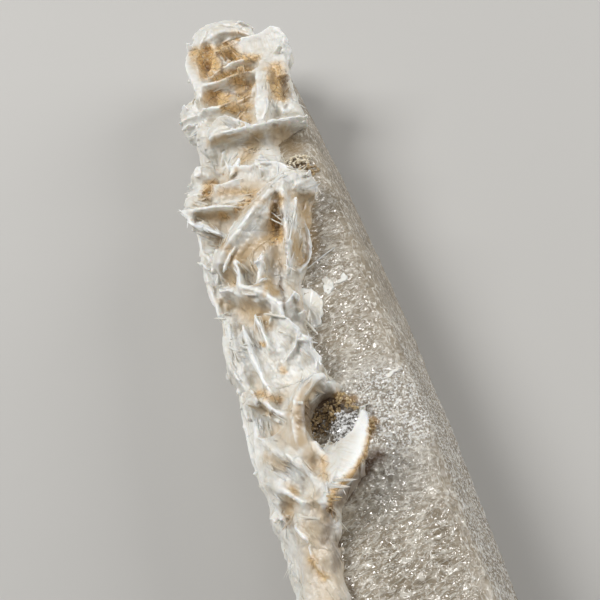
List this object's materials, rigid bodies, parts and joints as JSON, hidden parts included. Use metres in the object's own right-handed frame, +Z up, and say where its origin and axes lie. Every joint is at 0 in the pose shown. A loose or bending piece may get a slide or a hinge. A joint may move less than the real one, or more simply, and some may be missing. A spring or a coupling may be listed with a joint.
{
  "type": "quartz floater",
  "caption": "Long tapering etched quartz crystal lying on its flat back face, with a crust of white blades, lumps and hollows down one side and round its thin end.",
  "frame": {"origin": "bottom centre of the whole piece's box, on the surface it lies on", "axes": "+Z up, away from the flat back face; +Y along the crystal towards its thin end; the crust is on the -X side"},
  "size_m": [0.02, 0.0964, 0.0173],
  "materials": {
    "etched_quartz": "frosted, etched, translucent",
    "white_bladed_quartz": "satin, chalky white with honey stains in the hollows",
    "druse_quartz": "sparkling small crystal points"
  },
  "bodies": {
    "root": {"shaft": "etched_quartz", "blade_crust": "white_bladed_quartz", "hollow_druse": "druse_quartz"}
  },
  "joints": []
}
